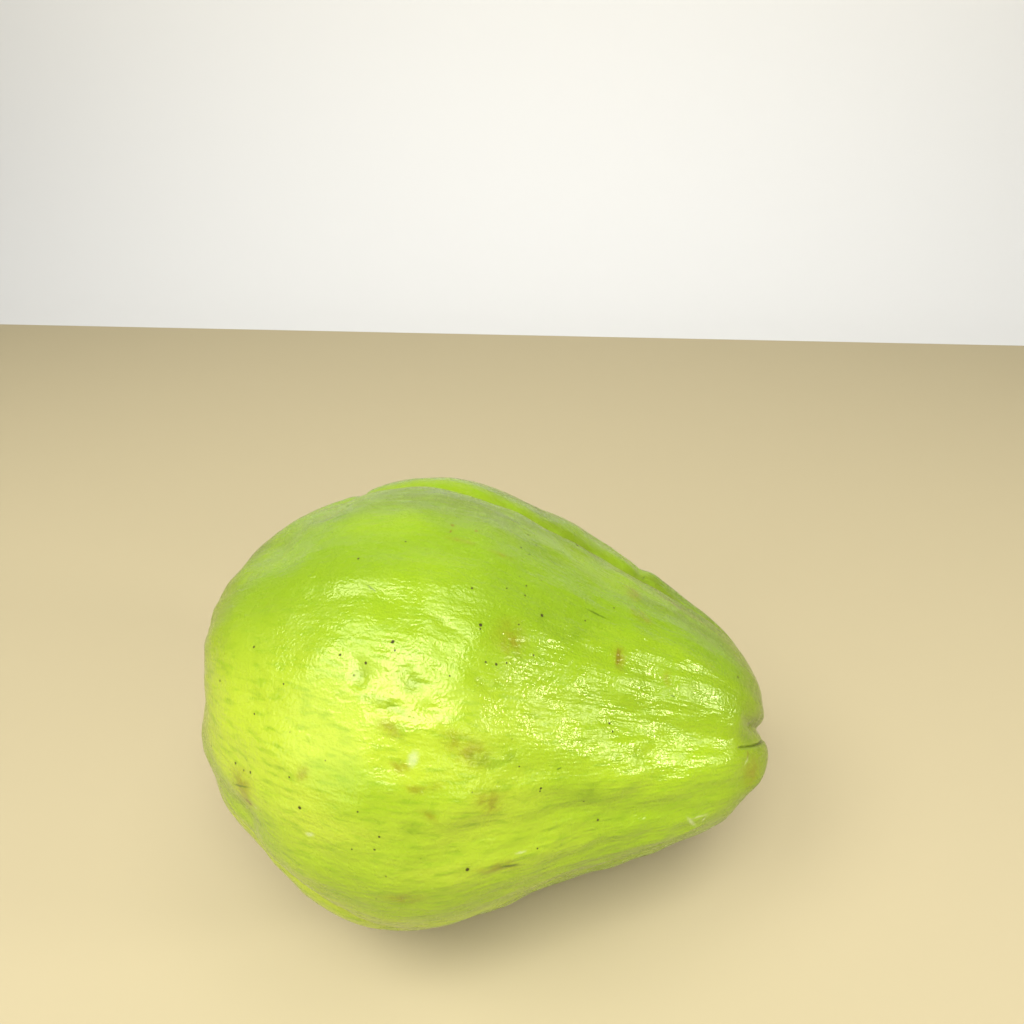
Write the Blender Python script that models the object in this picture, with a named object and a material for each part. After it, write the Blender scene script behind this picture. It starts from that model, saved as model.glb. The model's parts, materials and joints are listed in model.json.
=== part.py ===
"""A whole chayote squash lying on its belly, as one closed solid at its real size.

Metres, +Z up. The origin is the bottom centre of the fruit's box. +X points to the narrow end with the
puckered mouth, where the seed would sprout, -X to the broad stem end, and -Y is the near side.
"""

from math import cos, radians, sin

import bmesh
import bpy
import numpy as np
from mathutils import Matrix

MM = 0.001

# Driving dimensions, in mm
LENGTH = 130.0  # stem end to mouth along the fruit's own axis
GIRTH_RADIUS = 53.0  # where the turned body is fattest
WIDE = 1.06  # the section is wider across ...
LOW = 0.90  # ... than it is high
LEAN = 0.09  # slope by which the stem end leans back at the top
DROOP_DEGREES = 8.0  # how far the mouth hangs lower than the stem end
REST_FLAT = 1.4  # how much of the belly the fruit's own weight has pressed flat

# The mesh: the rings are closer together round the mouth, where the creases are narrow
MOUTH_STATION = 0.85
BODY_RINGS = 38
MOUTH_RINGS = 18
SEGMENTS = 60

# The outline from the stem end's middle to the mouth's, as shares of LENGTH and of GIRTH_RADIUS
OUTLINE = [
    (0.035, 0.0), (0.022, 0.15), (0.019, 0.32), (0.037, 0.49), (0.08, 0.66), (0.17, 0.83),
    (0.264, 0.95), (0.357, 1.0), (0.45, 0.98), (0.543, 0.895), (0.65, 0.775), (0.76, 0.655),
    (0.853, 0.545), (0.922, 0.44), (0.973, 0.3), (0.996, 0.15), (1.0, 0.0),
]

# Furrows and swellings are lines on the skin. Each has its half width in mm, and points of station, angle
# and depth. A station runs from 0 at the stem end's middle to 1 at the mouth's. An angle is in degrees round
# the axis: 0 on top, 90 on the near side, -90 on the far side. A depth is in mm, and a negative one swells.
FURROWS = {
    "top_furrow": (3.4, [(0.27, -17, 0.2), (0.34, -20, 2.2), (0.4, -20, 3.2), (0.47, -19, 3.6),
                         (0.56, -20, 4), (0.66, -24, 4), (0.74, -27, 3.6), (0.8, -30, 2.6),
                         (0.88, -30, 1.8), (0.95, -28, 0.8)]),
    "top_notch": (2, [(0.3, -12, 0), (0.312, -18, 1), (0.318, -30, 1.4), (0.315, -42, 0.4)]),
    "back_notch": (2.2, [(0.71, -25, 0), (0.718, -31, 0.7), (0.718, -42, 0.7)]),
    "upper_near_furrow": (5, [(0.16, 26, 0.2), (0.28, 27, 0.7), (0.41, 26, 0.8), (0.51, 24, 0.3)]),
    "mouth_furrow": (7, [(0.52, 40, 0), (0.6, 43, 1.6), (0.68, 45, 2.4), (0.76, 47, 2.4), (0.84, 50, 1.8),
                         (0.94, 51, 1)]),
    "lower_near_furrow": (6, [(0.4, 79, 0.3), (0.49, 74, 1), (0.6, 70, 1), (0.71, 73, 0.9), (0.8, 76, 0.2)]),
    "under_furrow": (3.4, [(0.14, 96, 0.2), (0.22, 100, 1.2), (0.32, 103, 2.4), (0.4, 107, 1.8),
                           (0.46, 111, 0.7), (0.56, 118, 0.4)]),
    "far_furrow": (5, [(0.14, -84, 0.4), (0.28, -86, 2), (0.5, -88, 2.6), (0.7, -88, 2.4), (0.86, -86, 2),
                       (0.95, -84, 0.8)]),
    "far_under_furrow": (5, [(0.16, -136, 0.4), (0.3, -138, 1.8), (0.5, -138, 1.2), (0.7, -134, 1.6),
                             (0.88, -132, 1.6), (0.95, -130, 0.6)]),
    "back_neck_lobe": (10, [(0.56, -38, -1), (0.61, -40, -2.6), (0.67, -42, -2.6), (0.78, -44, -2.2),
                            (0.88, -44, -1.4)]),
    "back_shoulder_hollow": (11, [(0.1, -40, 2.6), (0.2, -36, 3.4), (0.28, -38, 3)]),
    "upper_shoulder": (11, [(0.06, 16, -1.4), (0.14, 21, -2.2)]),
    "crown_hollow": (13, [(0.18, 6, 1.4), (0.235, 1, 3), (0.27, -4, 1.2)]),
    "shoulder_hollow": (10, [(0.06, 62, 0.8), (0.16, 70, 1.1), (0.24, 72, 0.4)]),
    "near_shoulder_hollow": (7, [(0.23, 88, 1.1), (0.27, 88, 1.5)]),
    "under_shoulder_hollow": (10, [(0.18, 114, 1.2), (0.28, 115, 1.6), (0.36, 116, 1.2), (0.42, 118, 0.6)]),
    "under_neck_hollow": (13, [(0.56, 116, 1), (0.64, 116, 2.3), (0.8, 114, 0.9), (0.86, 112, 0.3)]),
    "belly": (14, [(0.44, 180, -0.3), (0.49, 180, -1.2), (0.52, 180, -2.4), (0.55, 180, -2.8),
                   (0.6, 180, -2.4), (0.66, 180, -1.2), (0.72, 180, -0.2)]),
    "far_shoulder": (12, [(0.12, -64, -2), (0.2, -62, -1.6)]),
    "far_under_shoulder": (12, [(0.1, -162, -1.6), (0.2, -162, -1)]),
    "near_under_shoulder": (12, [(0.1, 150, -1.8), (0.2, 152, -1)]),
    "stem_dimple": (7, [(0, 0, 3), (0.02, 0, 3)]),
    "upper_lip_crease": (1.8, [(0.85, 36, 0), (0.9, 38, 2.3), (0.98, 40, 1.2)]),
    "recess": (3, [(0.86, 46, 0), (0.9, 45, 0.7), (0.97, 46, 1)]),
    "near_cleft": (1.2, [(0.87, 51, 0), (0.92, 52, 0.1), (1, 52, 0.4)]),
    "far_cleft": (1.8, [(1, -128, 3), (0.93, -128, 2), (0.87, -128, 0)]),
    "lower_lip": (6, [(0.9, 74, -1.9), (0.95, 66, -2.4)]),
    "lower_lip_crease": (2.5, [(0.86, 100, 0), (0.9, 98, 1.6), (0.95, 90, 1.6)]),
}
STEPS_BETWEEN_POINTS = 6  # straight stretches that stand for each furrow's curve

# Ripe chayote skin: pale yellowish green, waxy
SKIN_COLOUR = (0.42, 0.68, 0.06, 1.0)
SKIN_ROUGHNESS = 0.38


def clear_scene():
    for old in list(bpy.data.objects):
        bpy.data.objects.remove(old, do_unlink=True)


def outline_point(station):
    """Metres along the axis and out from it at a station, on a smooth curve through OUTLINE."""
    points = np.array(OUTLINE) * (LENGTH * MM, GIRTH_RADIUS * MM)
    lengths = np.linalg.norm(np.diff(points, axis=0), axis=1)
    stations = np.append(0.0, np.cumsum(lengths)) / lengths.sum()
    slopes = np.gradient(points, stations, axis=0)
    slopes[0, 0] = slopes[-1, 0] = 0.0  # the skin crosses the axis square at both ends
    k = min(int(np.searchsorted(stations, station, side="right")), len(points) - 1) - 1
    gap = stations[k + 1] - stations[k]
    s = (station - stations[k]) / gap
    rest = 1 - s
    return (
        points[k] * rest * rest * (1 + 2 * s)
        + points[k + 1] * s * s * (3 - 2 * s)
        + (slopes[k] * rest - slopes[k + 1] * s) * gap * s * rest
    )


def grown(point):
    """A point of the turned body, moved to where the flattened and leaning fruit has it."""
    x, y, z = point
    low_z = z * LOW
    fade = (1 - x / (LENGTH * MM)) ** 2
    return (x - LEAN * low_z * fade, y * WIDE, low_z)


def skin_point(station, degrees):
    x, out = outline_point(station)
    return grown((x, -out * sin(radians(degrees)), out * cos(radians(degrees))))


def turned_body():
    """The outline spun round the fruit's axis, as a bmesh with one vertex at each end."""
    body = bmesh.new()
    body_stations = np.linspace(0, MOUTH_STATION, BODY_RINGS, endpoint=False)
    mouth_stations = np.linspace(MOUTH_STATION, 1, MOUTH_RINGS)
    stations = np.append(body_stations, mouth_stations)
    corners = [body.verts.new((x, 0, out)) for x, out in map(outline_point, stations)]
    edges = [body.edges.new(ends) for ends in zip(corners, corners[1:])]
    bmesh.ops.spin(
        body, geom=corners + edges, cent=(0, 0, 0), axis=(1, 0, 0), angle=radians(360), steps=SEGMENTS,
        use_merge=True,
    )
    bmesh.ops.remove_doubles(body, verts=body.verts, dist=0.001 * MM)
    bmesh.ops.recalc_face_normals(body, faces=body.faces)
    for vert in body.verts:
        vert.co = grown(vert.co)
    body.normal_update()
    return body


def depth_of(points, half_width, line):
    """How deep one furrow is at each point: full depth on its line, fading smoothly to both sides."""
    stops = np.linspace(0, len(line) - 1, STEPS_BETWEEN_POINTS * (len(line) - 1) + 1)
    rows = np.array([np.interp(stops, range(len(line)), column) for column in zip(*line)]).T
    path = np.array([skin_point(station, degrees) for station, degrees, _ in rows])
    nearest = np.full(len(points), np.inf)
    depth = np.zeros(len(points))
    for start, end, (_, _, first), (_, _, last) in zip(path, path[1:], rows, rows[1:]):
        run = end - start
        share = np.clip((points - start) @ run / max(run @ run, MM**4), 0, 1)
        distance = np.linalg.norm(points - start - share[:, None] * run, axis=1)
        depth = np.where(distance < nearest, first + (last - first) * share, depth)
        nearest = np.minimum(nearest, distance)
    return depth * MM / (1 + (nearest / (half_width * MM)) ** 2) ** 1.5


def press_furrows(body):
    points = np.array([vert.co for vert in body.verts])
    normals = np.array([vert.normal for vert in body.verts])
    depth = sum(depth_of(points, half_width, line) for half_width, line in FURROWS.values())
    for vert, place in zip(body.verts, points - normals * depth[:, None]):
        vert.co = place


def lay_down(body):
    """Lets the mouth droop, presses the belly flat where it rests, and puts the origin under the middle."""
    droop = Matrix.Rotation(radians(DROOP_DEGREES), 3, "Y")
    bmesh.ops.rotate(body, cent=(0, 0, 0), matrix=droop, verts=body.verts)
    floor = min(vert.co.z for vert in body.verts) + REST_FLAT * MM
    for vert in body.verts:
        vert.co.z = max(vert.co.z, floor)
    places = np.array([vert.co for vert in body.verts])
    middle = (places.min(axis=0) + places.max(axis=0)) / 2
    bmesh.ops.translate(body, vec=(-middle[0], -middle[1], -floor), verts=body.verts)


def skin_material():
    skin = bpy.data.materials.new("chayote_skin")
    skin.use_nodes = True
    shader = skin.node_tree.nodes["Principled BSDF"]
    shader.inputs["Base Color"].default_value = SKIN_COLOUR
    shader.inputs["Roughness"].default_value = SKIN_ROUGHNESS
    shader.inputs["Metallic"].default_value = 0.0
    return skin


def chayote():
    body = turned_body()
    press_furrows(body)
    lay_down(body)
    mesh = bpy.data.meshes.new("chayote")
    body.to_mesh(mesh)
    body.free()
    mesh.materials.append(skin_material())
    mesh.shade_smooth()
    fruit = bpy.data.objects.new("chayote", mesh)
    bpy.context.scene.collection.objects.link(fruit)
    return fruit


clear_scene()
chayote()
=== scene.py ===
"""The looks of a ripe chayote squash that lies on its belly: its lobes, its puckered mouth, and a waxy,
finely wrinkled skin with the specks, scabs and scratches of a fruit from the market.

Metres, +Z up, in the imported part's frame. The fruit grows from the same outline and furrows as the part,
in finer steps. A place on the skin is a station and an angle. A station runs from 0 at the stem end's
middle to 1 at the mouth's. An angle is in degrees round the fruit: 0 on top, 90 on the near side.
"""

import json
from math import radians

import bpy
import numpy as np
from mathutils import Matrix, Vector, noise


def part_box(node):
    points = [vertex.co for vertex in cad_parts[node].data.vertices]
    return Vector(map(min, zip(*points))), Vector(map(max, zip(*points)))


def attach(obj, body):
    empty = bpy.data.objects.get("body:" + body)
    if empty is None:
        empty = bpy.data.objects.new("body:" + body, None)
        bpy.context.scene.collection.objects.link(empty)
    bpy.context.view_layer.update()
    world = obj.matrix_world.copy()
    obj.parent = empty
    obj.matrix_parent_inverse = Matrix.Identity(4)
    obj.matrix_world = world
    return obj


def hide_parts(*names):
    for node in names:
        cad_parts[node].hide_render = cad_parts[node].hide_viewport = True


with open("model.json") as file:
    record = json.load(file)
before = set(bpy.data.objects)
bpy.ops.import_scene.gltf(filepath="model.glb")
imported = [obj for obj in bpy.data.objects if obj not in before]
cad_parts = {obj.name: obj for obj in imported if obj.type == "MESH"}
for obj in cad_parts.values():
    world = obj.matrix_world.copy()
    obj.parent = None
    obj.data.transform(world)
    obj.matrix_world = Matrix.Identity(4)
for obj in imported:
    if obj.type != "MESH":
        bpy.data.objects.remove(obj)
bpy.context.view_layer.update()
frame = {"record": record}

MM = 0.001
NODE = frame["record"]["subparts"][0]["node"]

# ---- The grown form, with the part's driving dimensions in mm ----

LENGTH = 130.0
GIRTH_RADIUS = 53.0
WIDE = 1.06
LOW = 0.90
LEAN = 0.09
DROOP_DEGREES = 8.0
REST_FLAT = 1.4

# Shares of LENGTH and of GIRTH_RADIUS, from the stem end's middle to the mouth's
OUTLINE = [
    (0.035, 0.0), (0.022, 0.15), (0.019, 0.32), (0.037, 0.49), (0.08, 0.66), (0.17, 0.83),
    (0.264, 0.95), (0.357, 1.0), (0.45, 0.98), (0.543, 0.895), (0.65, 0.775), (0.76, 0.655),
    (0.853, 0.545), (0.922, 0.44), (0.973, 0.3), (0.996, 0.15), (1.0, 0.0),
]

# Lines pressed into the skin: a half width in mm, and points of station, angle and depth in mm.
# A negative depth swells.
FURROWS = {
    "top_furrow": (3.4, [(0.27, -17, 0.2), (0.34, -20, 2.2), (0.4, -20, 3.2), (0.47, -19, 3.6),
                         (0.56, -20, 4), (0.66, -24, 4), (0.74, -27, 3.6), (0.8, -30, 2.6),
                         (0.88, -30, 1.8), (0.95, -28, 0.8)]),
    "top_notch": (2, [(0.3, -12, 0), (0.312, -18, 1), (0.318, -30, 1.4), (0.315, -42, 0.4)]),
    "back_notch": (2.2, [(0.71, -25, 0), (0.718, -31, 0.7), (0.718, -42, 0.7)]),
    "upper_near_furrow": (5, [(0.16, 26, 0.2), (0.28, 27, 0.7), (0.41, 26, 0.8), (0.51, 24, 0.3)]),
    "mouth_furrow": (7, [(0.52, 40, 0), (0.6, 43, 1.6), (0.68, 45, 2.4), (0.76, 47, 2.4), (0.84, 50, 1.8),
                         (0.94, 51, 1)]),
    "lower_near_furrow": (6, [(0.4, 79, 0.3), (0.49, 74, 1), (0.6, 70, 1), (0.71, 73, 0.9),
                              (0.8, 76, 0.2)]),
    "under_furrow": (3.4, [(0.14, 96, 0.2), (0.22, 100, 1.2), (0.32, 103, 2.4), (0.4, 107, 1.8),
                           (0.46, 111, 0.7), (0.56, 118, 0.4)]),
    "far_furrow": (5, [(0.14, -84, 0.4), (0.28, -86, 2), (0.5, -88, 2.6), (0.7, -88, 2.4), (0.86, -86, 2),
                       (0.95, -84, 0.8)]),
    "far_under_furrow": (5, [(0.16, -136, 0.4), (0.3, -138, 1.8), (0.5, -138, 1.2), (0.7, -134, 1.6),
                             (0.88, -132, 1.6), (0.95, -130, 0.6)]),
    "back_neck_lobe": (10, [(0.56, -38, -1), (0.61, -40, -2.6), (0.67, -42, -2.6), (0.78, -44, -2.2),
                            (0.88, -44, -1.4)]),
    "back_shoulder_hollow": (11, [(0.1, -40, 2.6), (0.2, -36, 3.4), (0.28, -38, 3)]),
    "upper_shoulder": (11, [(0.06, 16, -1.4), (0.14, 21, -2.2)]),
    "crown_hollow": (13, [(0.18, 6, 1.4), (0.235, 1, 3), (0.27, -4, 1.2)]),
    "shoulder_hollow": (10, [(0.06, 62, 0.8), (0.16, 70, 1.1), (0.24, 72, 0.4)]),
    "near_shoulder_hollow": (7, [(0.23, 88, 1.1), (0.27, 88, 1.5)]),
    "under_shoulder_hollow": (10, [(0.18, 114, 1.2), (0.28, 115, 1.6), (0.36, 116, 1.2),
                                   (0.42, 118, 0.6)]),
    "under_neck_hollow": (13, [(0.56, 116, 1), (0.64, 116, 2.3), (0.8, 114, 0.9), (0.86, 112, 0.3)]),
    "belly": (14, [(0.44, 180, -0.3), (0.49, 180, -1.2), (0.52, 180, -2.4), (0.55, 180, -2.8),
                   (0.6, 180, -2.4), (0.66, 180, -1.2), (0.72, 180, -0.2)]),
    "far_shoulder": (12, [(0.12, -64, -2), (0.2, -62, -1.6)]),
    "far_under_shoulder": (12, [(0.1, -162, -1.6), (0.2, -162, -1)]),
    "near_under_shoulder": (12, [(0.1, 150, -1.8), (0.2, 152, -1)]),
    "stem_dimple": (7, [(0, 0, 3), (0.02, 0, 3)]),
    "upper_lip_crease": (1.8, [(0.85, 36, 0), (0.9, 38, 2.3), (0.98, 40, 1.2)]),
    "recess": (3, [(0.86, 46, 0), (0.9, 45, 0.7), (0.97, 46, 1)]),
    "near_cleft": (1.2, [(0.87, 51, 0), (0.92, 52, 0.1), (1, 52, 0.4)]),
    "far_cleft": (1.8, [(1, -128, 3), (0.93, -128, 2), (0.87, -128, 0)]),
    "lower_lip": (6, [(0.9, 74, -1.9), (0.95, 66, -2.4)]),
    "lower_lip_crease": (2.5, [(0.86, 100, 0), (0.9, 98, 1.6), (0.95, 90, 1.6)]),
}
STEPS_BETWEEN_POINTS = 6
OUTLINE_SHARE = 1.42  # how much longer the outline is than the fruit

# ---- What the part leaves out because it is too fine: the same kind of lines, in mm ----

FINE_LINES = {
    "near_slit": (0.20, [(0.853, 52, 0), (0.862, 52, 0.9), (0.92, 52, 1.2), (1, 52, 1.5)]),
    "far_slit": (0.5, [(1, -128, 2.6), (0.94, -128, 1.8), (0.88, -128, 0)]),
    "stem_rim": (1.6, [(0.02, 0, -0.5), (0.02, 90, -0.6), (0.02, 180, -0.4), (0.02, 270, -0.6),
                       (0.02, 360, -0.5)]),
    "pit": (1.7, [(0.394, 40, 0.6), (0.399, 43.5, 0.9)]),
    "pit_rim": (1.0, [(0.408, 44, -0.3), (0.400, 47, -0.3), (0.390, 46, -0.2)]),
    "near_crease_bent": (1.3, [(0.425, 37, 0), (0.437, 40, 0.4), (0.447, 43, 0.5), (0.475, 42, 0)]),
    "near_crease_upper": (0.6, [(0.450, 40, 0), (0.470, 39.5, 0.4), (0.490, 40.5, 0)]),
    "near_crease_low": (0.7, [(0.408, 50, 0), (0.430, 48, 0.6), (0.452, 46, 0)]),
    "near_crease_short": (0.6, [(0.452, 46.5, 0), (0.466, 47, 0.5), (0.482, 47.5, 0)]),
    "near_crease_right": (0.8, [(0.498, 38.5, 0), (0.518, 41, 0.6), (0.542, 43, 0)]),
    "near_crease_high": (1.1, [(0.446, 27.5, 0), (0.467, 29.5, 0.6), (0.496, 32, 0)]),
}

# Rings are closer together round the mouth. One line of the mesh runs along the mouth's slit, and the
# lines beside it are closer together.
MOUTH_STATION = 0.83
BODY_RINGS = 226
MOUTH_RINGS = 92
SEGMENTS = 300
SLIT_DEGREES = 52.0
SLIT_SHADE_STARTS = 0.66  # mm deep, where the painted shade in the slit starts
SLIT_SHADE_FULL = 1.26  # mm deep, where the painted shade in the slit is darkest
CROWDING = 20.0  # degrees by which the lines on both sides of the slit are drawn towards it


def outline_at(stations):
    """Metres along the axis and out from it at each station, on a smooth curve through OUTLINE."""
    points = np.array(OUTLINE) * (LENGTH * MM, GIRTH_RADIUS * MM)
    lengths = np.linalg.norm(np.diff(points, axis=0), axis=1)
    knots = np.append(0.0, np.cumsum(lengths)) / lengths.sum()
    slopes = np.gradient(points, knots, axis=0)
    slopes[0, 0] = slopes[-1, 0] = 0.0
    k = np.clip(np.searchsorted(knots, stations, side="right") - 1, 0, len(knots) - 2)
    gap = (knots[k + 1] - knots[k])[:, None]
    s = (stations - knots[k])[:, None] / gap
    rest = 1 - s
    return (
        points[k] * rest * rest * (1 + 2 * s)
        + points[k + 1] * s * s * (3 - 2 * s)
        + (slopes[k] * rest - slopes[k + 1] * s) * gap * s * rest
    )


def skin_points(stations, degrees):
    """Places on the smooth, flattened and leaning body, before furrows."""
    along, out = outline_at(stations).T
    angles = np.radians(degrees)
    y = -out * np.sin(angles) * WIDE
    z = out * np.cos(angles) * LOW
    lean = LEAN * z * (1 - along / (LENGTH * MM)) ** 2
    return np.stack([along - lean, y, z], axis=1)


def ring_stations():
    body = np.linspace(0, MOUTH_STATION, BODY_RINGS, endpoint=False)[1:]
    mouth = np.linspace(MOUTH_STATION, 1, MOUTH_RINGS + 1)[:-1]
    return np.concatenate([body, mouth])


def line_degrees():
    """The angle of each line of the mesh from the stem end to the mouth."""
    turns = np.arange(SEGMENTS) / SEGMENTS
    return SLIT_DEGREES + 360 * turns - CROWDING * np.sin(2 * np.pi * turns)


def vertex_places():
    """Station and angle of every vertex: ring by ring, then the stem end's middle and the mouth's."""
    stations, degrees = np.meshgrid(ring_stations(), line_degrees(), indexing="ij")
    return np.append(stations.ravel(), (0.0, 1.0)), np.append(degrees.ravel(), (0.0, 0.0))


def skin_faces():
    """Faces between the rings and over both ends, and the UV place of each of their corners."""
    stations = ring_stations()
    rings = len(stations)
    ends = rings * SEGMENTS
    faces = []
    corners = []
    for ring in range(rings - 1):
        here = ring * SEGMENTS
        there = here + SEGMENTS
        low, high = stations[ring], stations[ring + 1]
        for k in range(SEGMENTS):
            after = (k + 1) % SEGMENTS
            left, right = k / SEGMENTS, (k + 1) / SEGMENTS
            faces.append((here + k, here + after, there + after, there + k))
            corners += [(left, low), (right, low), (right, high), (left, high)]
    last = (rings - 1) * SEGMENTS
    for k in range(SEGMENTS):
        after = (k + 1) % SEGMENTS
        left, right = k / SEGMENTS, (k + 1) / SEGMENTS
        middle = (left + right) / 2
        faces.append((ends, after, k))
        corners += [(middle, 0.0), (right, stations[0]), (left, stations[0])]
        faces.append((ends + 1, last + k, last + after))
        corners += [(middle, 1.0), (left, stations[-1]), (right, stations[-1])]
    return faces, corners


def depth_of(points, half_width, line):
    """How deep one line is at each point: full depth on the line, fading smoothly to both sides."""
    stops = np.linspace(0, len(line) - 1, STEPS_BETWEEN_POINTS * (len(line) - 1) + 1)
    rows = np.array([np.interp(stops, range(len(line)), column) for column in zip(*line)]).T
    path = skin_points(rows[:, 0], rows[:, 1])
    nearest = np.full(len(points), np.inf)
    depth = np.zeros(len(points))
    for start, end, first, last in zip(path, path[1:], rows[:, 2], rows[1:, 2]):
        run = end - start
        share = np.clip((points - start) @ run / max(run @ run, MM**4), 0, 1)
        distance = np.linalg.norm(points - start - share[:, None] * run, axis=1)
        depth = np.where(distance < nearest, first + (last - first) * share, depth)
        nearest = np.minimum(nearest, distance)
    return depth * MM / (1 + (nearest / (half_width * MM)) ** 2) ** 1.5


def places_of(mesh):
    flat = np.empty(len(mesh.vertices) * 3)
    mesh.vertices.foreach_get("co", flat)
    return flat.reshape(-1, 3)


def press(mesh, depth):
    """Moves every vertex inwards along its normal."""
    normals = np.empty(len(mesh.vertices) * 3)
    mesh.vertices.foreach_get("normal", normals)
    moved = places_of(mesh) - normals.reshape(-1, 3) * depth[:, None]
    mesh.vertices.foreach_set("co", moved.ravel())
    mesh.update()


def noise_at(points, size):
    """Smooth noise from about -1 to 1, with lumps as large as size, in metres along x, y and z."""
    return np.array([noise.noise(Vector(point)) for point in points / size])


def growth_of(stations, degrees):
    """The skin laid on a tube, in metres, so that patterns narrow towards both ends, as real ones do."""
    outline_length = OUTLINE_SHARE * LENGTH * MM
    angles = np.radians(degrees)
    round_tube = GIRTH_RADIUS * MM * np.stack([np.cos(angles), np.sin(angles)], axis=1)
    return np.column_stack([stations * outline_length, round_tube])


# The skin's own unevenness: how deep each kind is, then the length of its lumps along the fruit and their
# two widths across it, all in mm
RELIEF = {
    "dents": (0.75, (26, 11, 11)),
    "creases": (0.30, (9, 3.2, 3.2)),
    "knobs": (0.36, (8, 8, 8)),
    "pebbles": (0.08, (2.6, 2.6, 2.6)),
    "neck_lumps": (0.26, (8, 5, 5)),
}


def lumps(kind, points):
    """Depth in mm of one kind of unevenness."""
    depth, size = RELIEF[kind]
    return depth * noise_at(points, np.array(size) * MM)


def fine_relief(points, growth, stations):
    """Depth of all the skin's own unevenness. It is calm round the stem end's middle and the mouth."""
    towards_mouth = np.clip((stations - 0.3) / 0.35, 0, 1)
    calm = np.clip((1 - stations) / 0.22, 0.2, 1) * np.clip(stations / 0.05, 0, 1)
    dents = lumps("dents", growth)
    creases = lumps("creases", growth) * (0.35 + 0.65 * towards_mouth)
    creases *= np.clip((0.92 - stations) / 0.2, 0.2, 1)
    knobs = lumps("knobs", points)
    pebbles = lumps("pebbles", points) * (1 - 0.5 * towards_mouth)
    neck = np.clip((stations - 0.46) / 0.1, 0, 1) * np.clip((0.86 - stations) / 0.08, 0, 1)
    neck_lumps = lumps("neck_lumps", growth) * neck
    return (dents + creases + knobs + pebbles + neck_lumps) * calm * MM


def lay_down(mesh):
    """Lets the mouth droop, presses the belly flat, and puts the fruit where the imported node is."""
    mesh.transform(Matrix.Rotation(radians(DROOP_DEGREES), 4, "Y"))
    places = places_of(mesh)
    floor = places[:, 2].min() + REST_FLAT * MM
    places[:, 2] = np.maximum(places[:, 2], floor)
    low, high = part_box(NODE)
    middle = (places.min(axis=0) + places.max(axis=0)) / 2
    places += ((low.x + high.x) / 2 - middle[0], (low.y + high.y) / 2 - middle[1], low.z - floor)
    mesh.vertices.foreach_set("co", places.ravel())
    mesh.update()


def skin_mesh():
    mesh = bpy.data.meshes.new("chayote_skin")
    stations, degrees = vertex_places()
    faces, corners = skin_faces()
    points = skin_points(stations, degrees)
    mesh.from_pydata(points.tolist(), [], faces)
    mesh.uv_layers.new(name="OFBake").data.foreach_set("uv", np.array(corners).ravel())
    growth = growth_of(stations, degrees)
    mesh.attributes.new("growth", "FLOAT_VECTOR", "POINT").data.foreach_set("vector", growth.ravel())
    mesh.update()
    press(mesh, sum(depth_of(points, width, line) for width, line in FURROWS.values()))
    fine = sum(depth_of(points, width, line) for width, line in FINE_LINES.values())
    slit = sum(depth_of(points, *FINE_LINES[name]) for name in ("near_slit", "far_slit"))
    # Painted shade: the deeper the slit, the darker its colour
    slit_shade = np.clip((slit / MM - SLIT_SHADE_STARTS) / (SLIT_SHADE_FULL - SLIT_SHADE_STARTS), 0, 1)
    held = {kind: soft_marks(points, kind) for kind in SOFT_KINDS} | {"slit_shade": slit_shade}
    for name, values in held.items():
        mesh.attributes.new(name, "FLOAT", "POINT").data.foreach_set("value", values)
    press(mesh, fine + fine_relief(points, growth, stations))
    lay_down(mesh)
    mesh.shade_smooth()
    return mesh


# ---- The marks on the skin ----

# How each kind of mark looks: its colour, how strongly it covers, the share of its radius that fades out,
# and how ragged its edge is, in mm. Soft kinds are wide enough to be held by the mesh's own points.
SOFT_KINDS = {
    "stain": ("#7A731A", 0.72, 0.95, 2.0),
    # A darker green spot; some of these lie where shade falls and are painted shade
    "bruise_and_shade": ("#607916", 0.55, 0.95, 1.6),
}
CRISP_KINDS = {
    "scab": ("#6E6616", 0.90, 0.55, 0.35),
    "scratch": ("#49600F", 0.85, 0.70, 0.12),
    "graze": ("#AFB87F", 0.70, 0.70, 0.25),
}
SPECK_BROWN = "#2A2004"

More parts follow.
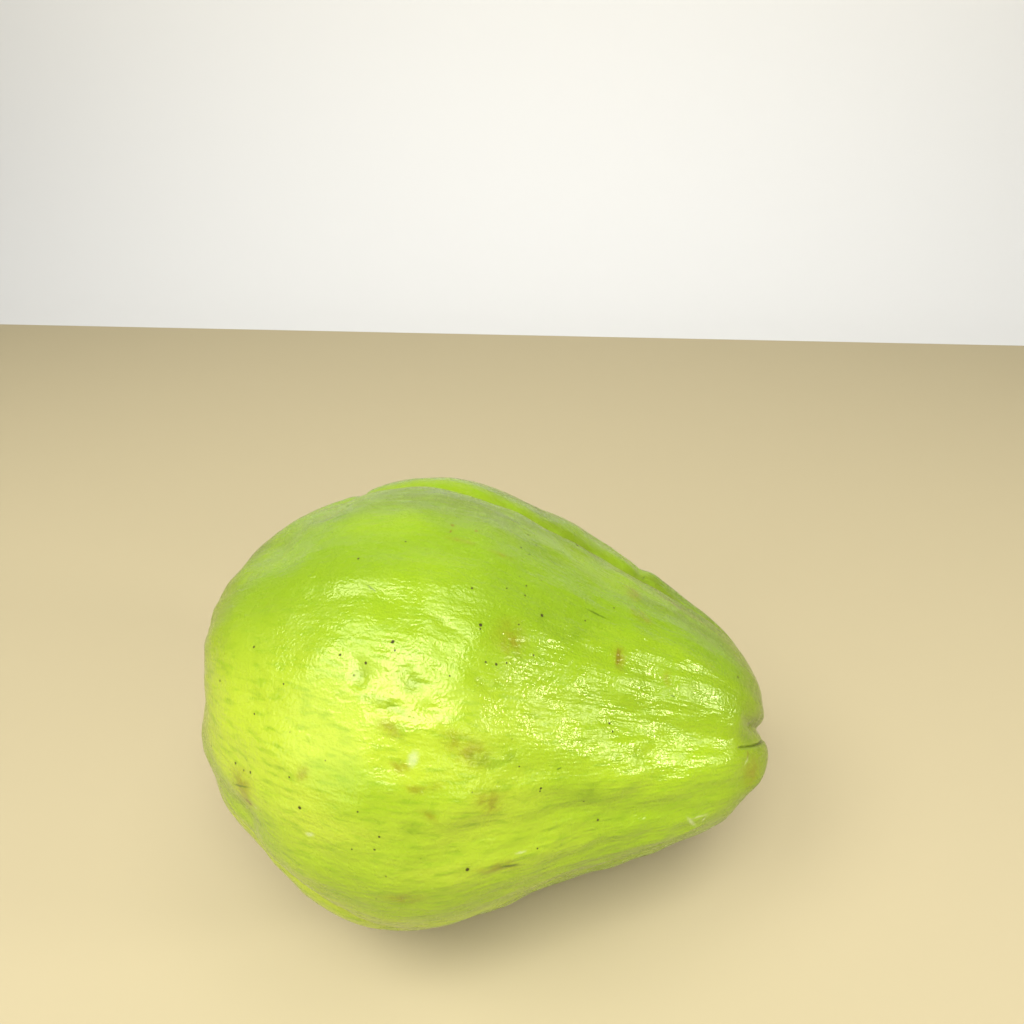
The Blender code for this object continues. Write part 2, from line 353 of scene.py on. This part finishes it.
# Each mark: its kind, station and angle, its length and width in mm, and how far its length is turned
# from the fruit's own, in degrees anticlockwise as seen from outside
MARKS = [
    ("scab", 0.408, -14, 1.9, 1.2, 0),
    ("scab", 0.452, 4, 1.1, 1.0, 0),
    ("scab", 0.455, 6, 1.2, 0.6, 70),
    ("scab", 0.481, 4, 0.9, 0.6, 0),
    ("scab", 0.668, 26, 4.0, 1.1, 85),
    ("scab", 0.283, 80, 2.6, 1.0, 0),
    ("scab", 0.871, 57, 1.6, 0.5, 60),
    ("stain", 0.537, 30, 9, 7, 20),
    ("stain", 0.433, 52, 5, 3, 0),
    ("stain", 0.507, 53, 10, 5, -20),
    ("stain", 0.448, 59, 2.8, 1.8, 0),
    ("stain", 0.455, 58, 2.2, 1.4, 0),
    ("stain", 0.470, 62, 6, 2, 0),
    ("stain", 0.481, 68, 4, 1.8, -15),
    ("stain", 0.536, 65, 6, 4, 0),
    ("stain", 0.353, 64, 2.8, 2.0, 20),
    ("stain", 0.738, 27, 3.6, 3, 90),
    ("stain", 0.668, 26, 6, 3.4, 90),
    ("stain", 0.562, 84, 10, 2.6, -12),
    ("stain", 0.466, 90, 8, 3, 10),
    ("stain", 0.279, 76, 9, 7, 70),
    ("stain", 0.466, 8, 5, 1.2, 10),
    ("stain", 0.510, 9, 7, 1.6, 15),
    ("stain", 0.880, 66, 7, 6, 30),
    ("stain", 0.687, -2, 5.5, 4, 60),
    ("stain", 0.694, 9, 5, 3.6, 0),
    ("bruise_and_shade", 0.426, -3, 9, 3, 0),
    ("bruise_and_shade", 0.569, 22, 3.2, 2.8, 0),
    ("bruise_and_shade", 0.613, 23, 8, 3.4, 35),
    ("bruise_and_shade", 0.562, -1, 13, 7, 20),
    ("bruise_and_shade", 0.522, 82, 3, 1.6, 0),
    ("bruise_and_shade", 0.522, 56, 4, 2.4, 0),
    ("bruise_and_shade", 0.558, 56, 3.6, 2.4, 0),
    ("bruise_and_shade", 0.648, 66, 7, 5, 0),
    ("bruise_and_shade", 0.466, 71, 6, 2.6, 0),
    # These four, in the pit, in the creases beside it and on the mouth's recess, are painted shade
    ("bruise_and_shade", 0.398, 42, 5.2, 4.6, 30),
    ("bruise_and_shade", 0.447, 42.5, 5.4, 3.4, 0),
    ("bruise_and_shade", 0.430, 48, 9, 1.8, -15),
    ("bruise_and_shade", 0.880, 45, 8, 6, 0),
    ("scratch", 0.639, 14, 5.8, 0.46, -3),
    ("scratch", 0.316, 0, 4.6, 0.32, 28),
    ("scratch", 0.386, 24, 2.6, 0.4, -30),
    ("scratch", 0.275, 76, 6.0, 0.45, 26),
    ("scratch", 0.567, 84, 4.5, 0.8, -12),
    ("scratch", 0.723, -32, 2.2, 0.4, 75),
    ("scratch", 0.547, 4, 1.2, 0.4, 45),
    ("scratch", 0.606, 58, 1.2, 0.4, 20),
    ("scratch", 0.742, 34, 1.5, 0.35, -8),
    ("graze", 0.459, 57, 3.0, 2.0, 80),
    ("graze", 0.790, 87, 4.6, 0.9, -48),
    ("graze", 0.801, 85, 4.2, 0.5, -5),
    ("graze", 0.809, 88, 1.8, 0.5, 75),
    ("graze", 0.580, 81, 2.2, 0.5, 0),
    ("graze", 0.868, 60, 2.4, 0.35, 45),
    ("graze", 0.268, 87, 0.8, 0.6, 0),
    ("graze", 0.294, 80, 0.8, 0.6, 0),
    ("graze", 0.367, 78, 1.8, 0.9, 20),
]

# Dark specks: their width in mm, then the station and angle of each
SPECKS = {
    0.75: [
        (0.503, 29), (0.422, 35), (0.569, 22), (0.606, -12), (0.353, 72), (0.522, 82),
    ],
    0.55: [
        (0.522, 36), (0.665, 46), (0.588, 63), (0.843, 15), (0.264, 71), (0.290, 70), (0.533, 3),
        (0.665, 76), (0.367, 17), (0.224, 51), (0.268, 40), (0.540, -4), (0.397, 40), (0.371, 39),
    ],
    0.42: [
        (0.500, 29.5), (0.426, 37), (0.514, 36), (0.522, 18), (0.547, 15), (0.547, 18), (0.485, 21),
        (0.540, 26), (0.562, 32), (0.536, 35), (0.481, 40), (0.621, 18), (0.661, 9), (0.672, 48),
        (0.591, 64), (0.847, -14), (0.316, 47), (0.286, 56), (0.213, 74), (0.279, 71), (0.338, 66),
        (0.415, 69), (0.408, 78), (0.646, 69), (0.437, 74), (0.430, 77), (0.595, 81), (0.551, -1),
        (0.411, 11),
    ],
}


def axes_from(along, across):
    """The directions along the fruit, across it and out of it, as columns."""
    outward = Vector(across).cross(Vector(along)).normalized()
    along = Vector(along).normalized()
    return Matrix((along, outward.cross(along), outward)).transposed()


def resting_place(mesh, station, degrees):
    """A place on the finished skin and its directions."""
    stations = ring_stations()
    ring = int(np.clip(np.searchsorted(stations, station), 1, len(stations) - 2)) * SEGMENTS
    away = np.abs((line_degrees() - degrees + 180) % 360 - 180)
    line = int(away.argmin())
    place = mesh.vertices[ring + line].co
    further = mesh.vertices[ring + SEGMENTS + line].co
    beside = mesh.vertices[ring + (line + 1) % SEGMENTS].co
    return place, axes_from(further - place, beside - place)


def soft_marks(points, kind):
    """How much of one kind of soft mark each point of the smooth body has, from 0 to 1."""
    _, _, fade, edge = SOFT_KINDS[kind]
    size = np.full(3, 3 * edge * MM)
    shift = np.column_stack([noise_at(points + offset * MM, size) for offset in (0, 100, 200)])
    ragged = points + shift * edge * MM
    total = np.zeros(len(points))
    for _, station, degrees, length, width, turn in (mark for mark in MARKS if mark[0] == kind):
        centre, further, beside = skin_points(
            np.array([station, station + 0.01, station]), np.array([degrees, degrees, degrees + 1.0])
        )
        turned = axes_from(further - centre, beside - centre) @ Matrix.Rotation(radians(turn), 3, "Z")
        radii = np.array((length, width, max(length, width))) / 2 * MM
        radius = np.linalg.norm((ragged - centre) @ np.array(turned) / radii, axis=1)
        share = np.clip((1 + fade / 2 - radius) / (1.5 * fade), 0, 1)
        total = np.maximum(total, share * share * (3 - 2 * share))
    return total


# ---- The skin's finish ----

# A young chayote's skin: a thin green cuticle with its own wax over pale, watery flesh. The wax gives
# broad, soft highlights that the fine wrinkles break up, and the flesh lets a little light through.
LIME = "#8CA61C"
DEEP_LIME = "#819B1B"
# Yellower and lighter: partly a sunned tone, partly painted light
SUNNED_AND_LIT_LIME = "#9DAD2E"
# A darker green for painted shade on the top
TOP_SHADE_GREEN = "#6C8818"
# A darker olive for painted shade on the far side
BACK_SHADE_OLIVE = "#637616"
STREAK_GREEN = "#76931A"
# Olive, and darker for painted shade, towards the mouth
MOUTH_OLIVE_AND_SHADE = "#68750F"
STEM_OLIVE = "#787E28"
CORK_BROWN = "#7A6C3C"
# The colour of the painted shade in the mouth's slit
SLIT_SHADE_GREEN = "#333D0D"
SPECK_SPACING_MM = 4.6
SPECK_RADIUS_MM = 0.24

# Roughness where the wax is thick, where it is worn, and on a speck, which has none
THICK_WAX = 0.18
WORN_WAX = 0.30
SPECK_ROUGHNESS = 0.8
WAX_IOR = 1.5

# Heights in mm of the skin's finest folds, grain and wrinkles
FOLD_HEIGHT = 0.15
GRAIN_HEIGHT = 0.12
WRINKLE_HEIGHT = 0.17


def linear(colour):
    """An sRGB hex colour as linear RGBA."""
    shares = [int(colour[k:k + 2], 16) / 255 for k in (1, 3, 5)]
    return [s / 12.92 if s <= 0.04045 else ((s + 0.055) / 1.055) ** 2.4 for s in shares] + [1.0]


def add(tree, kind, inputs=(), **settings):
    """Adds a node. An input is a value, or another node's socket, which is linked."""
    node = tree.nodes.new(kind)
    for name, value in settings.items():
        setattr(node, name, value)
    for name, value in dict(inputs).items():
        if isinstance(value, bpy.types.NodeSocket):
            tree.links.new(value, node.inputs[name])
        else:
            node.inputs[name].default_value = value
    return node


def waxy_skin(mesh):
    material = bpy.data.materials.new("waxy_chayote_skin")
    material.use_nodes = True
    tree = material.node_tree
    shader = tree.nodes["Principled BSDF"]
    place = add(tree, "ShaderNodeTexCoord").outputs["Object"]
    growth = add(tree, "ShaderNodeAttribute", attribute_name="growth").outputs["Vector"]
    slit_shade = add(tree, "ShaderNodeAttribute", attribute_name="slit_shade").outputs["Fac"]

    def maths(operation, first, second):
        return add(tree, "ShaderNodeMath", {0: first, 1: second}, operation=operation).outputs[0]

    def pattern(vector, size_mm, stretch=1.0, detail=2.0):
        """Noise with lumps of size_mm, stretched that many times along the fruit."""
        scaled = add(tree, "ShaderNodeMapping", {"Vector": vector, "Scale": (1 / stretch, 1, 1)})
        return add(tree, "ShaderNodeTexNoise", {
            "Vector": scaled.outputs["Vector"], "Scale": 1 / (size_mm * MM), "Detail": detail,
        }).outputs["Fac"]

    def between(value, low, high, start=0.0, end=1.0):
        return add(tree, "ShaderNodeMapRange", {
            "Value": value, "From Min": low, "From Max": high, "To Min": start, "To Max": end,
        }, interpolation_type="SMOOTHSTEP").outputs["Result"]

    def tinted(base, share, colour):
        """The base colour with a share of another laid over it."""
        sockets = {0: share, 6: base, 7: linear(colour)}
        return add(tree, "ShaderNodeMix", sockets, data_type="RGBA").outputs[2]

    def ragged(amount_mm, size_mm):
        """The place on the skin, shifted a little and unevenly, so that a mark's edge is ragged."""
        shift = add(tree, "ShaderNodeTexNoise", {
            "Vector": place, "Scale": 1 / (size_mm * MM), "Detail": 2.0})
        centred = add(tree, "ShaderNodeVectorMath", {
            0: shift.outputs["Color"], 1: (0.5, 0.5, 0.5)}, operation="SUBTRACT")
        scaled = add(tree, "ShaderNodeVectorMath", {
            0: centred.outputs[0], "Scale": 3 * amount_mm * MM}, operation="SCALE")
        return add(tree, "ShaderNodeVectorMath", {0: place, 1: scaled.outputs[0]}).outputs[0]

    def marks_of(kind, fade, edge_mm):
        """Where all marks of one crisp kind are, from 0 to 1."""
        vector = ragged(edge_mm, max(3 * edge_mm, 0.6))
        total = 0.0
        for _, station, degrees, length, width, turn in (mark for mark in MARKS if mark[0] == kind):
            centre, axes = resting_place(mesh, station, degrees)
            inside = add(tree, "ShaderNodeMapping", {
                "Vector": vector,
                "Location": centre,
                "Rotation": (axes @ Matrix.Rotation(radians(turn), 3, "Z")).to_euler(),
                "Scale": (length / 2 * MM, width / 2 * MM, max(length, 2.0) / 2 * MM),
            }, vector_type="TEXTURE").outputs["Vector"]
            radius = add(tree, "ShaderNodeVectorMath", {0: inside}, operation="LENGTH").outputs["Value"]
            total = maths("MAXIMUM", between(radius, 1 - fade, 1 + fade / 2, 1, 0), total)
        return total

    def specks():
        """Where the larger specks are, from 0 to 1."""
        vector = ragged(0.12, 0.5)
        total = 0.0
        for width, places in SPECKS.items():
            nearest = GIRTH_RADIUS * MM
            for station, degrees in places:
                centre, _ = resting_place(mesh, station, degrees)
                distance = add(tree, "ShaderNodeVectorMath", {0: vector, 1: centre}, operation="DISTANCE")
                nearest = maths("MINIMUM", distance.outputs["Value"], nearest)
            edge = width / 2 * MM
            total = maths("MAXIMUM", between(nearest, 0.6 * edge, 1.2 * edge, 1, 0), total)
        return total

    outline_length = OUTLINE_SHARE * LENGTH * MM
    girth = GIRTH_RADIUS * MM
    along, up, near = add(tree, "ShaderNodeSeparateXYZ", {"Vector": growth}).outputs
    station = maths("DIVIDE", along, outline_length)

    # The near side, more so towards the stem end, is yellower and lighter: partly the skin's own sunned
    # tone, partly painted light on the side that faces the lamps
    near_side = between(near, 0.1 * girth, 0.95 * girth)
    sunned_and_lit = maths("MULTIPLY", near_side, between(station, 0.80, 0.35))
    colour = tinted(linear(LIME), sunned_and_lit, SUNNED_AND_LIT_LIME)
    # Painted shade: the top is a darker green
    colour = tinted(colour, between(up, 0.55 * girth, girth, 0, 0.8), TOP_SHADE_GREEN)
    # Painted shade: the far side, behind the top furrow, is a darker olive
    colour = tinted(colour, between(near, 0.14 * girth, -0.14 * girth, 0, 0.85), BACK_SHADE_OLIVE)
    colour = tinted(colour, between(pattern(growth, 20, 1.8), 0.44, 0.64, 0, 0.7), DEEP_LIME)
    colour = tinted(colour, between(pattern(growth, 1.4, 3.0, 3), 0.48, 0.72, 0, 0.6), STREAK_GREEN)
    # Towards the mouth the skin is olive and darker: partly its own olive tone, partly painted shade
    colour = tinted(colour, between(station, 0.80, 0.93, 0, 0.75), MOUTH_OLIVE_AND_SHADE)
    colour = tinted(colour, between(station, 0.26, 0.10, 0, 0.75), STEM_OLIVE)
    colour = tinted(colour, between(station, 0.030, 0.018), CORK_BROWN)

    for kind, (tint, cover, _, _) in SOFT_KINDS.items():
        held = add(tree, "ShaderNodeAttribute", attribute_name=kind).outputs["Fac"]
        uneven = between(pattern(place, 1.8, 1, 3), 0.36, 0.60, 0.4 * cover, cover)
        colour = tinted(colour, maths("MULTIPLY", held, uneven), tint)
    for kind, (tint, cover, fade, edge_mm) in CRISP_KINDS.items():
        colour = tinted(colour, maths("MULTIPLY", marks_of(kind, fade, edge_mm), cover), tint)
    dots = add(tree, "ShaderNodeTexVoronoi", {"Vector": place, "Scale": 1 / (SPECK_SPACING_MM * MM)})
    dot_edge = SPECK_RADIUS_MM / SPECK_SPACING_MM
    dot = between(dots.outputs["Distance"], 0.5 * dot_edge, dot_edge, 1, 0)
    dark = maths("MAXIMUM", maths("MULTIPLY", dot, dots.outputs["Color"]), specks())
    colour = tinted(colour, dark, SPECK_BROWN)
    # Painted shade darkens the deep middle of the mouth's slit
    colour = tinted(colour, slit_shade, SLIT_SHADE_GREEN)
    tree.links.new(colour, shader.inputs["Base Color"])

    height = 0.0
    past_shoulder = between(station, 0.30, 0.60, 0.5, 1)
    before_mouth = between(station, 0.86, 0.70, 0.2, 1)
    wrinkled = maths("MULTIPLY", past_shoulder, before_mouth)
    for layer in (
        maths("MULTIPLY", pattern(growth, 1.6, 2, 1), FOLD_HEIGHT),
        maths("MULTIPLY", pattern(place, 0.6, 1, 1), GRAIN_HEIGHT),
        maths("MULTIPLY", pattern(growth, 1.0, 4, 1), maths("MULTIPLY", wrinkled, WRINKLE_HEIGHT)),
    ):
        height = maths("ADD", height, layer)
    bump = add(tree, "ShaderNodeBump", {"Height": height, "Distance": MM, "Strength": 1.0})
    tree.links.new(bump.outputs["Normal"], shader.inputs["Normal"])

    gloss = between(pattern(place, 4, 1, 2), 0.38, 0.62, THICK_WAX, WORN_WAX)
    dull = maths("MULTIPLY", dark, SPECK_ROUGHNESS)
    tree.links.new(maths("MAXIMUM", gloss, dull), shader.inputs["Roughness"])
    shader.inputs["IOR"].default_value = WAX_IOR
    shader.inputs["Specular Tint"].default_value = (1.0, 1.0, 0.55, 1.0)
    shader.inputs["Subsurface Weight"].default_value = 0.3
    shader.inputs["Subsurface Radius"].default_value = (1.0, 1.0, 0.3)
    shader.inputs["Subsurface Scale"].default_value = 2 * MM
    return material


# ---- The studio: a pale sweep, a large soft light overhead, and smaller ones that fill the sides ----

FLOOR_CREAM = "#A99C79"
WALL_GREY = "#D2D1CC"
CAMERA_MM = (14.3, -134.2, 173.8)
CAMERA_PITCH = 30.0
CAMERA_YAW = 4.1
CAMERA_LENS = 25.98
CAMERA_SENSOR = 36.0


def studio_camera():
    camera = bpy.data.cameras.new("studio_camera")
    camera.lens = CAMERA_LENS
    camera.sensor_width = CAMERA_SENSOR
    camera.clip_start = 0.01
    holder = bpy.data.objects.new("studio_camera", camera)
    holder.location = Vector(CAMERA_MM) * MM
    holder.rotation_euler = (radians(90 - CAMERA_PITCH), 0, radians(CAMERA_YAW))
    bpy.context.scene.collection.objects.link(holder)
    bpy.context.scene.camera = holder


def softbox(name, place, width, height, power, aim=None):
    """An oval soft light, unseen itself, that faces the fruit's middle or another place."""
    lamp = bpy.data.lights.new(name, "AREA")
    lamp.shape = "ELLIPSE"
    lamp.size = width
    lamp.size_y = height
    lamp.energy = power
    holder = bpy.data.objects.new(name, lamp)
    holder.visible_camera = False
    holder.location = place
    low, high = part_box(NODE)
    towards = Vector(aim or (low + high) / 2) - holder.location
    holder.rotation_euler = towards.to_track_quat("-Z", "Y").to_euler()
    bpy.context.scene.collection.objects.link(holder)


def sweep():
    """The floor, which curves up into the backdrop."""
    turn = np.radians(np.linspace(0, 90, 13))
    bend = 0.25
    wall = 0.7
    profile = [(-1.5, 0.0)] + [(wall - bend + bend * np.sin(t), bend - bend * np.cos(t)) for t in turn]
    profile.append((wall, 1.8))
    points = [(x, y, z) for y, z in profile for x in (-2.0, 2.0)]
    faces = [(2 * k, 2 * k + 1, 2 * k + 3, 2 * k + 2) for k in range(len(profile) - 1)]
    mesh = bpy.data.meshes.new("sweep")
    mesh.from_pydata(points, [], faces)
    mesh.shade_smooth()
    for name, colour in (("cream_floor", FLOOR_CREAM), ("grey_white_wall", WALL_GREY)):
        paint = bpy.data.materials.new(name)
        paint.use_nodes = True
        paint.node_tree.nodes["Principled BSDF"].inputs["Base Color"].default_value = linear(colour)
        paint.node_tree.nodes["Principled BSDF"].inputs["Roughness"].default_value = 0.8
        mesh.materials.append(paint)
    mesh.polygons.foreach_set("material_index", [0] + [1] * (len(faces) - 1))
    floor = bpy.data.objects.new("sweep", mesh)
    bpy.context.scene.collection.objects.link(floor)


def soft_world():
    world = bpy.data.worlds.new("soft_world")
    world.use_nodes = True
    world.node_tree.nodes["Background"].inputs["Color"].default_value = linear("#F4F4F8")
    world.node_tree.nodes["Background"].inputs["Strength"].default_value = 0.06
    bpy.context.scene.world = world
    bpy.context.scene.view_settings.view_transform = "Standard"


mesh = skin_mesh()
mesh.materials.append(waxy_skin(mesh))
fruit = bpy.data.objects.new("chayote_fruit", mesh)
bpy.context.scene.collection.objects.link(fruit)
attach(fruit, "root")
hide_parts(NODE)

studio_camera()
softbox("overhead_softbox", (0.02, -0.40, 0.74), 0.56, 0.50, 8.5)
softbox("overhead_left_softbox", (-0.42, -0.22, 0.70), 0.40, 0.40, 3.6)
softbox("overhead_right_softbox", (0.24, -0.10, 0.80), 0.30, 0.30, 1.2)
softbox("stem_side_softbox", (-0.50, -0.66, 0.36), 0.76, 0.76, 2.9)
softbox("front_softbox", (0.54, -0.63, 0.40), 0.36, 0.36, 1.15)
softbox("mouth_side_softbox", (0.81, -0.16, 0.34), 0.18, 0.14, 2.6)
softbox("backdrop_softbox", (0.0, 0.10, 0.95), 1.20, 0.30, 3.9, aim=(0.0, 0.70, 0.90))
sweep()
soft_world()
